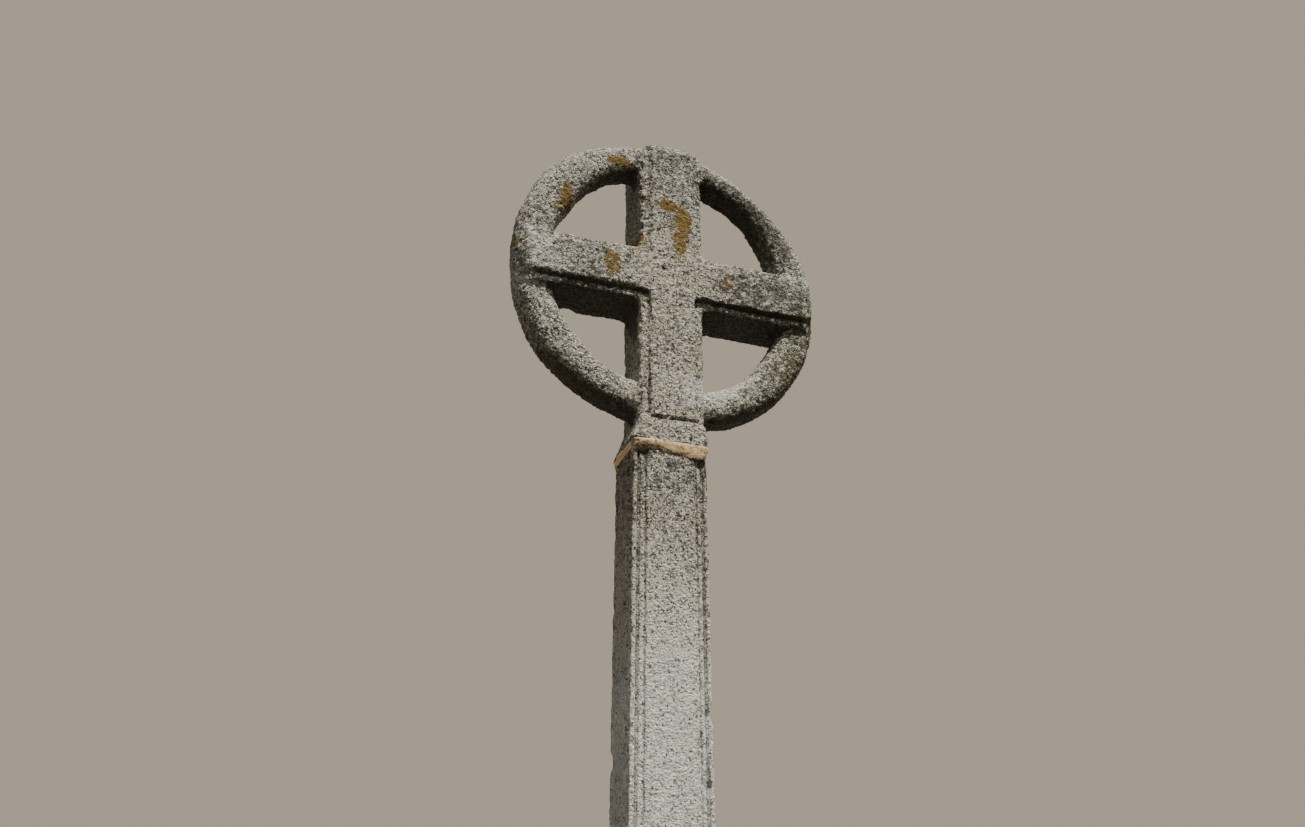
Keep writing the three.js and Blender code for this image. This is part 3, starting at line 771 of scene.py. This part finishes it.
def sky_light(mesh):
    """Share of the sky's rain that reaches each point, tried along a few directions."""
    normals = unit(smooth_normals(mesh, 3))
    starts = read_points(mesh) + normals * SKY_RAY_START
    directions = []
    for azimuth, height in np.radians(SKY_DIRECTIONS):
        flat = math.cos(height)
        directions.append(Vector((flat * math.sin(azimuth), -flat * math.cos(azimuth), math.sin(height))))
    facing = np.array([np.clip(normals @ np.array(d) + 0.12, 0.0, None) for d in directions])
    light = np.zeros(len(starts))
    for row, direction in zip(facing, directions):
        for index in np.flatnonzero(row > 0.02):
            if STONES.ray_cast(starts[index], direction)[0] is None:
                light[index] += row[index]
    return average_over(limit(light / (0.34 * len(directions))), read_edges(mesh), 4)


def patches(points, places, rear=0.035):
    """Strength of the growths that are given by their places on the front of the head."""
    mask = np.zeros(len(points))
    for x, z, across, up, strength in places:
        far = np.hypot((points[:, 0] - AXIS_X - x) / across, (points[:, 2] - CROSSING_Z - z) / up)
        mask = np.maximum(mask, strength * limit(1.75 - far))
    return np.where(points[:, 1] < rear, mask, 0.0)


def ring_patches(points, arcs):
    """Strength of the growths that are given by their arcs on the ring."""
    mask = np.zeros(len(points))
    radius = np.hypot(points[:, 0] - AXIS_X, points[:, 2] - RING_Z)
    angle = np.degrees(np.arctan2(points[:, 2] - RING_Z, points[:, 0] - AXIS_X))
    for middle, spread, inner, outer, strength in arcs:
        turn = np.abs((angle - middle + 180.0) % 360.0 - 180.0)
        along = limit((spread * 1.25 - turn) / (spread * 0.5))
        across = limit((radius - inner) / 0.016) * limit((outer - radius) / 0.016)
        mask = np.maximum(mask, strength * along * across)
    return mask


def finish_piece(piece, node, low, high, hollow_height, least_grime_and_shade=0.0, painted_shade_amount=1.0):
    """Keeps the piece inside its node's box, marks what the material reads, and hands it to the frame."""
    mesh = piece.data
    points = np.clip(read_points(mesh), np.array(low), np.array(high))
    write_points(mesh, points)
    # Grime and painted shade: hollows are painted darker, the cuts between the reeds at least as much as
    # given.
    hollow = average_over(limit(relief(mesh, 7) / hollow_height), read_edges(mesh), 1)
    store(mesh, "hollow", np.maximum(hollow, least_grime_and_shade))
    store(mesh, "rain", sky_light(mesh))
    away = smooth_normals(mesh, 3)
    # Painted shade: left faces and undersides, away from the key light, are marked for the brown tint.
    turned_from_key = limit(-away[:, 0] - 0.25) + 0.7 * limit(-away[:, 2] - 0.1)
    store(mesh, "stain", turned_from_key * painted_shade_amount)
    for name in ("arris", "bedded"):
        if name in mesh.attributes:
            mesh.attributes.remove(mesh.attributes[name])
    mesh.polygons.foreach_set("use_smooth", np.ones(len(mesh.polygons), bool))
    mesh.update()
    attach(piece, "root")
    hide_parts(node)


def loft(name, rows):
    """A closed tube through rows of points, all of the same length, with a face across each end."""
    count = len(rows[0])
    shell = bmesh.new()
    made = [[shell.verts.new(point) for point in row] for row in rows]
    for lower, upper in zip(made, made[1:]):
        for index in range(count):
            after = (index + 1) % count
            shell.faces.new((lower[index], lower[after], upper[after], upper[index]))
    ends = [shell.faces.new(list(reversed(made[0]))), shell.faces.new(made[-1])]
    bmesh.ops.triangulate(shell, faces=ends, ngon_method="EAR_CLIP")
    bmesh.ops.recalc_face_normals(shell, faces=shell.faces)
    return make_piece(name, shell)


def arc(along, depth, radius, start, end, steps):
    """Points of a reed's round: start and end in degrees, from the side away from the corner."""
    made = []
    for index in range(steps + 1):
        turn = math.radians(start + (end - start) * index / steps)
        made.append((along + radius * math.cos(turn), depth - radius * math.sin(turn)))
    return made


def wall(first, second, steps):
    """Points evenly along a straight stretch, without its last point."""
    return [tuple(a + (b - a) * index / steps for a, b in zip(first, second)) for index in range(steps)]


def reeded_corner_half():
    """From the panel's edge round to the arris: distance along the face from the corner, and depth."""
    face_reed_along = 2 * CORNER_REED + QUIRK_WIDTH + FACE_REED
    groove_inner = face_reed_along + FACE_REED
    edge = (SHAFT_CORNER_WIDTH, -SHAFT_PANEL_RISE)
    groove_far = (SHAFT_CORNER_WIDTH - 0.0022, SHAFT_GROOVE_DEPTH)
    groove_near = (groove_inner, SHAFT_GROOVE_DEPTH)
    points = wall(edge, groove_far, 4) + wall(groove_far, groove_near, 2)
    face_reed = arc(face_reed_along, FACE_REED, FACE_REED, 8, 172, 9)
    points += wall(groove_near, face_reed[0], 1) + face_reed
    points.append((2 * CORNER_REED + QUIRK_WIDTH / 2, QUIRK_DEPTH))
    points += arc(CORNER_REED, CORNER_REED, CORNER_REED, 8, 135, 8)
    return points


def shaft_halves(share):
    return [foot + (top - foot) * share for foot, top in zip(SHAFT_FOOT_HALVES, SHAFT_TOP_HALVES)]


def quarter_outline(half_width, half_depth, projection):
    """The shaft's outline from the middle of its front to that of its right side, reeded or plain."""
    corner = reeded_corner_half()
    if projection is None:
        front = [(half_width - along, -half_depth + depth) for along, depth in corner]
        side = [(half_width - depth, -half_depth + along) for along, depth in corner[:-1]]
        face, flank = -half_depth - SHAFT_PANEL_RISE, half_width + SHAFT_PANEL_RISE
    else:
        face, flank = -half_depth - projection, half_width + projection
        steps = len(corner) - 1
        span = SHAFT_CORNER_WIDTH + projection
        front = [(flank - span * (1 - index / steps), face) for index in range(steps + 1)]
        side = [(flank, face + span * (1 - index / steps)) for index in range(steps)]
    middle = [(front[0][0] * index / FRONT_STEPS, face) for index in range(FRONT_STEPS)]
    last = side[0][1]
    end = [(flank, last - last * index / SIDE_STEPS) for index in range(1, SIDE_STEPS)]
    return middle + front + side[::-1] + end


def shaft_outline(share, projection):
    """The whole outline at a share of the shaft's height, from the middle of its front."""
    half_width, half_depth = shaft_halves(share)
    quarter = quarter_outline(half_width, half_depth, projection)
    side_flank = quarter[-1][0]
    right = quarter + [(side_flank, 0.0)] + [(x, -y) for x, y in reversed(quarter)]
    left = [(-x, y) for x, y in reversed(right[1:-1])]
    return np.array(right + left)


def reeded_shaft(name):
    """Lofts the reeded shaft from its plain foot block up through the stops of the reeds."""
    height = SHAFT_HIGH.z - SHAFT_LOW.z
    stop_top = SHAFT_BLOCK_HEIGHT + SHAFT_STOP_HEIGHT
    row_height = 0.0064
    block_rows = max(4, round(SHAFT_BLOCK_HEIGHT / (row_height * 1.6)))
    stop_rows = round(SHAFT_STOP_HEIGHT / (row_height * 0.7))
    reed_rows = round((height - stop_top) / row_height)
    levels = [SHAFT_BLOCK_HEIGHT * index / block_rows for index in range(block_rows)]
    levels += [SHAFT_BLOCK_HEIGHT + SHAFT_STOP_HEIGHT * index / stop_rows for index in range(stop_rows)]
    levels += [stop_top + (height - stop_top) * index / reed_rows for index in range(reed_rows + 1)]
    rows = []
    for level in levels:
        stopped = min(max((level - SHAFT_BLOCK_HEIGHT) / SHAFT_STOP_HEIGHT, 0.0), 1.0)
        share = level / height
        plain = shaft_outline(0.0, SHAFT_BLOCK_PROJECTION)
        outline = plain if stopped == 0 else plain + (shaft_outline(share, None) - plain) * stopped
        rows.append([(x, y, SHAFT_LOW.z + level) for x, y in outline])
    return loft(name, rows)


def quirk_grime_and_shade(points):
    """How much grime lies in the cuts between the reeds, by the distance from the shaft's corners."""
    share = (points[:, 2] - SHAFT_LOW.z) / (SHAFT_HIGH.z - SHAFT_LOW.z)
    half_width, half_depth = shaft_halves(share)
    in_front = half_depth - np.abs(points[:, 1])
    in_side = half_width - np.abs(points[:, 0])
    along = np.maximum(in_front, in_side)
    away = (along - 2 * CORNER_REED - QUIRK_WIDTH / 2) / QUIRK_WIDTH
    return limit(1.4 - np.abs(away) * 2.2)


def rounded_rectangle(half_width, half_depth, radius, count):
    """Points at equal steps round a rectangle with rounded corners, with the outward direction at each."""
    inner = np.array([half_width - radius, half_depth - radius])
    quarter = math.pi * radius / 2
    around = 4 * (inner.sum() + quarter)
    points, outwards = [], []
    for index in range(count):
        walked, side = around * index / count, 0
        while walked > 2 * inner[side % 2] + quarter:
            walked -= 2 * inner[side % 2] + quarter
            side += 1
        past_corner = walked - 2 * inner[side % 2]
        turn = math.radians(90 * side - 90)
        swing = turn + max(past_corner, 0.0) / radius
        outwards.append((math.cos(swing), math.sin(swing)))
        back = np.array([-math.sin(turn), math.cos(turn)]) * min(past_corner, 0.0)
        corner = inner * ((1, -1), (1, 1), (-1, 1), (-1, -1))[side]
        points.append(corner + np.array(outwards[-1]) * radius + back)
    return np.array(points), np.array(outwards)


def mortar_collar(name):
    """The smeared bed of mortar: a collar that bulges between the stones and runs thinly over their edges."""
    look = bpy.context.scene.ringed_cross_mortar
    count = 260
    low, high = MORTAR_LOW, MORTAR_HIGH
    middle_x = (low.x + high.x) / 2
    half_width, half_depth = (high.x - low.x) / 2, (high.y - low.y) / 2
    inner = np.array([half_width - COLLAR_INSET, half_depth - COLLAR_INSET])
    points, outwards = rounded_rectangle(*inner, COLLAR_RADIUS, count)
    random = np.random.RandomState(5)
    turn = 2 * np.pi * np.arange(count) / count

    def uneven(waves, strength):
        made = np.zeros(count)
        for wave in waves:
            size = random.uniform(0.4, 1.0) / wave ** 0.5
            made += size * np.sin(turn * wave + random.uniform(0, 2 * np.pi))
        return strength * made

    front = limit(-outwards[:, 1])
    left = limit(-outwards[:, 0])
    right_share = np.clip(points[:, 0] / half_width, -1, 1)
    top_run = look.smear * (0.12 + 0.20 * front * right_share) + uneven((3, 5, 8, 13, 21, 34), 0.0026)
    low_run = look.smear * (0.30 + 0.70 * front * right_share + 0.60 * left)
    low_run += uneven((2, 5, 9, 14, 23, 37), 0.0034)
    proud = look.proud * (0.75 + uneven((2, 4, 7, 12, 19), 0.35))
    upper_half = np.array(FOOT_HALVES) + 0.0002
    lower_half = np.array(SHAFT_TOP_HALVES) + (-0.0035, 0.0020)
    rows = []
    base = low.z - np.clip(low_run, 0.0005, 0.02)
    crown = high.z + np.clip(top_run, 0.0005, 0.012)
    for share, fullness in COLLAR_PROFILE:
        lean = upper_half * share + lower_half * (1 - share)
        outline = points * (lean / inner) + outwards * (np.clip(proud, 0.0008, 0.006) * fullness)[:, None]
        height = base + (crown - base) * share
        rows.append([(middle_x * share + x, y, z) for (x, y), z in zip(outline, height)])
    return loft(name, rows)


def joint_crust(points):
    """Where the mortar hides under a crust: below a slanting edge on the front, and round its left corner."""
    across = np.clip(points[:, 0] / FOOT_HALVES[0], -1.0, 1.0)
    edge = HEAD_LOW.z - 0.0045 - 0.0130 * (across + 0.75)
    below = limit((edge - points[:, 2]) / 0.003) * (points[:, 1] < 0.0)
    corner = 1.0 - np.hypot(points[:, 0] + FOOT_HALVES[0], points[:, 1] + FOOT_HALVES[1]) / 0.026
    return np.maximum(below * (across > -0.93), np.clip(corner * 1.6, 0.0, 0.62))


# Steps, each of which an operator runs


def build_stage():
    """Makes the camera, the pale floor and the soft studio light."""
    scene = bpy.context.scene
    look = scene.ringed_cross_stage
    camera = bpy.data.objects.new("camera", bpy.data.cameras.new("camera"))
    scene.collection.objects.link(camera)
    camera.data.lens = CAMERA_LENS
    camera.data.sensor_width = SENSOR_WIDTH
    camera.location = CAMERA_PLACE
    camera.rotation_euler = [math.radians(turn) for turn in CAMERA_TURN]
    camera.data.clip_end = CAMERA_REACH
    scene.camera = camera

    shell = bmesh.new()
    bmesh.ops.create_circle(shell, cap_ends=True, segments=64, radius=FLOOR_RADIUS)
    floor = make_piece("floor", shell)
    material, tree, shader, where = new_material("pale floor")
    shade = [part * 0.94 for part in look.floor]
    tone = blend(tree, noise(tree, where, 3.0, 1.0, 3.0), look.floor, shade)
    set_inputs(tree, shader, {"Base Color": tone, "Roughness": 0.9})
    floor.data.materials.append(material)
    floor.visible_diffuse = False  # the light from below is set by the air alone

    world = bpy.data.worlds.new("pale air")
    world.use_nodes = True
    tree = world.node_tree
    tree.nodes.clear()
    seen = add_node(tree, "ShaderNodeBackground", {"Color": look.air, "Strength": 1.0})
    upward = split(tree, add_node(tree, "ShaderNodeTexCoord").outputs["Generated"])["Z"]
    light = blend(tree, ease(tree, upward, -0.25, 0.35), LOWER_AIR, UPPER_AIR)
    fill = add_node(tree, "ShaderNodeBackground", {"Color": light, "Strength": look.air_strength})
    in_view = add_node(tree, "ShaderNodeLightPath").outputs["Is Camera Ray"]
    mixed = add_node(tree, "ShaderNodeMixShader", {0: in_view, 1: fill.outputs[0], 2: seen.outputs[0]})
    add_node(tree, "ShaderNodeOutputWorld", {"Surface": mixed.outputs[0]})
    scene.world = world

    for name, strength, angle, tint, direction in (
            ("back light", look.back_strength, 30.0, (1.0, 1.0, 1.0), (-0.42, -0.80, -0.42)),
            ("bounce light", look.bounce_strength, 70.0, (1.0, 0.90, 0.76), (0.86, 0.10, 0.42)),
            ("key light", look.sun_strength, 2.5, (1.0, 0.965, 0.90), (-0.13, 0.44, -0.88))):
        lamp = bpy.data.objects.new(name, bpy.data.lights.new(name, "SUN"))
        lamp.data.energy = strength
        lamp.data.angle = math.radians(angle)
        lamp.data.color = tint
        lamp.rotation_euler = Vector(direction).to_track_quat("-Z", "Y").to_euler()
        scene.collection.objects.link(lamp)


def build_head():
    """Makes the weathered cross head with its ring."""
    piece = merged_copy("cross_head", "weathered_cross_head")
    remesh(piece, HEAD_VOXEL)
    mark_for_weathering(piece.data, 0.0016, 8, HEAD_LOW.z, NO_UPPER_BED, 0.006)
    wear_faint(piece.data, 14)
    wear_places(piece.data, HEAD_WORN_PLACES)
    cut_line(piece.data, AXIS_X, *FOOT_LINE)
    weather(piece, "head", granite_material("head"))
    thin_out(piece, HEAD_TRIANGLES)
    points = read_points(piece.data)
    for name, share in (
            ("orange", patches(points, ORANGE_LICHEN, 0.010)),
            ("pale", ring_patches(points, RING_PALE)),
            ("soot", np.maximum(ring_patches(points, RING_SOOT_AND_SHADE), patches(points, SOOT_AND_SHADOW_PLACES))),
            ("clean", patches(points, CLEAN_PLACES)),
            ("moss", ring_patches(points, RING_MOSS))):
        store(piece.data, name, share)
    finish_piece(piece, "cross_head", HEAD_LOW, HEAD_HIGH, HEAD_HOLLOW)


def build_mortar():
    """Makes the smeared mortar joint under the head."""
    piece = mortar_collar("smeared_mortar")
    remesh(piece, MORTAR_VOXEL)
    weather(piece, "mortar", mortar_material())
    store(piece.data, "crust", joint_crust(read_points(piece.data)))
    low, high = MORTAR_LOW - MORTAR_MARGIN, MORTAR_HIGH + MORTAR_MARGIN
    finish_piece(piece, "mortar_joint", low, high, MORTAR_HOLLOW)


def build_shaft():
    """Makes the reeded shaft."""
    piece = reeded_shaft("weathered_shaft")
    mark_for_weathering(piece.data, 0.0012, 3, SHAFT_LOW.z, SHAFT_HIGH.z, 0.006)
    wear_places(piece.data, SHAFT_WORN_PLACES)
    weather(piece, "shaft", granite_material("shaft"))
    points = read_points(piece.data)
    drop = CROSSING_Z - points[:, 2]
    near_foot = limit((drop - 1.2) / 1.1)
    store(piece.data, "clean", limit((drop - 0.42) / 0.3) * (1.0 - 0.85 * near_foot))
    store(piece.data, "pale", limit((drop - 0.54) / 0.34) * (1.0 - 0.75 * near_foot))
    store(piece.data, "soot", limit(1.0 - (drop - 0.40) / 0.18) * 0.80)
    # The painted shade tint fades down the shaft.
    finish_piece(piece, "shaft", SHAFT_LOW, SHAFT_HIGH, SHAFT_HOLLOW,
                 least_grime_and_shade=quirk_grime_and_shade(points), painted_shade_amount=1.0 - 0.65 * limit((drop - 0.45) / 0.5))


def build_base():
    """Makes the plinth and the step, with their tooled faces."""
    for node, stone, voxel, low, high in (
            ("plinth", "plinth", PLINTH_VOXEL, PLINTH_LOW, PLINTH_HIGH),
            ("base_step", "step", STEP_VOXEL, STEP_LOW, STEP_HIGH)):
        piece = merged_copy(node, "tooled_" + stone)
        remesh(piece, voxel)
        mark_for_weathering(piece.data, 0.0040, 8, low.z, NO_UPPER_BED, 0.012)
        weather(piece, stone, granite_material(stone))
        rise = read_points(piece.data)[:, 2] - low.z
        store(piece.data, "moss", 0.80 * limit(1.0 - rise / MOSS_HEIGHT))
        finish_piece(piece, node, low, high, BASE_HOLLOW)


STEPS = (
    ("stage", "Stage", build_stage),
    ("head", "Cross Head", build_head),
    ("mortar", "Mortar Joint", build_mortar),
    ("shaft", "Shaft", build_shaft),
    ("base", "Plinth and Step", build_base),
)


def operator_class(name, label, build):
    """An operator that runs one of the steps."""

    def execute(self, context):
        build()
        return {"FINISHED"}

    return type("RINGED_CROSS_OT_" + name, (bpy.types.Operator,), {
        "__doc__": build.__doc__, "bl_idname": "ringed_cross." + name, "bl_label": label, "execute": execute})


OPERATORS = [operator_class(*step) for step in STEPS]
SETTINGS = {
    "ringed_cross_granite": GraniteProperties,
    "ringed_cross_mortar": MortarProperties,
    "ringed_cross_stage": StageProperties,
}


class RINGED_CROSS_PT_panel(bpy.types.Panel):
    """Lists the stones and their settings"""

    bl_idname = "RINGED_CROSS_PT_panel"
    bl_label = "Ringed Cross"
    bl_space_type = "VIEW_3D"
    bl_region_type = "UI"
    bl_category = "Ringed Cross"

    def draw(self, context):
        for step in OPERATORS:
            self.layout.operator(step.bl_idname, text=step.bl_label)
        for group in SETTINGS:
            box = self.layout.box()
            settings = getattr(context.scene, group)
            for name in settings.__annotations__:
                box.prop(settings, name)


def register():
    for group, kind in SETTINGS.items():
        bpy.utils.register_class(kind)
        setattr(bpy.types.Scene, group, bpy.props.PointerProperty(type=kind))
    for kind in OPERATORS + [RINGED_CROSS_PT_panel]:
        bpy.utils.register_class(kind)


def unregister():
    for kind in reversed(OPERATORS + [RINGED_CROSS_PT_panel]):
        bpy.utils.unregister_class(kind)
    for group, kind in SETTINGS.items():
        delattr(bpy.types.Scene, group)
        bpy.utils.unregister_class(kind)


def main():
    register()
    for step in STEPS:
        getattr(bpy.ops.ringed_cross, step[0])()


if __name__ == "__main__":
    main()
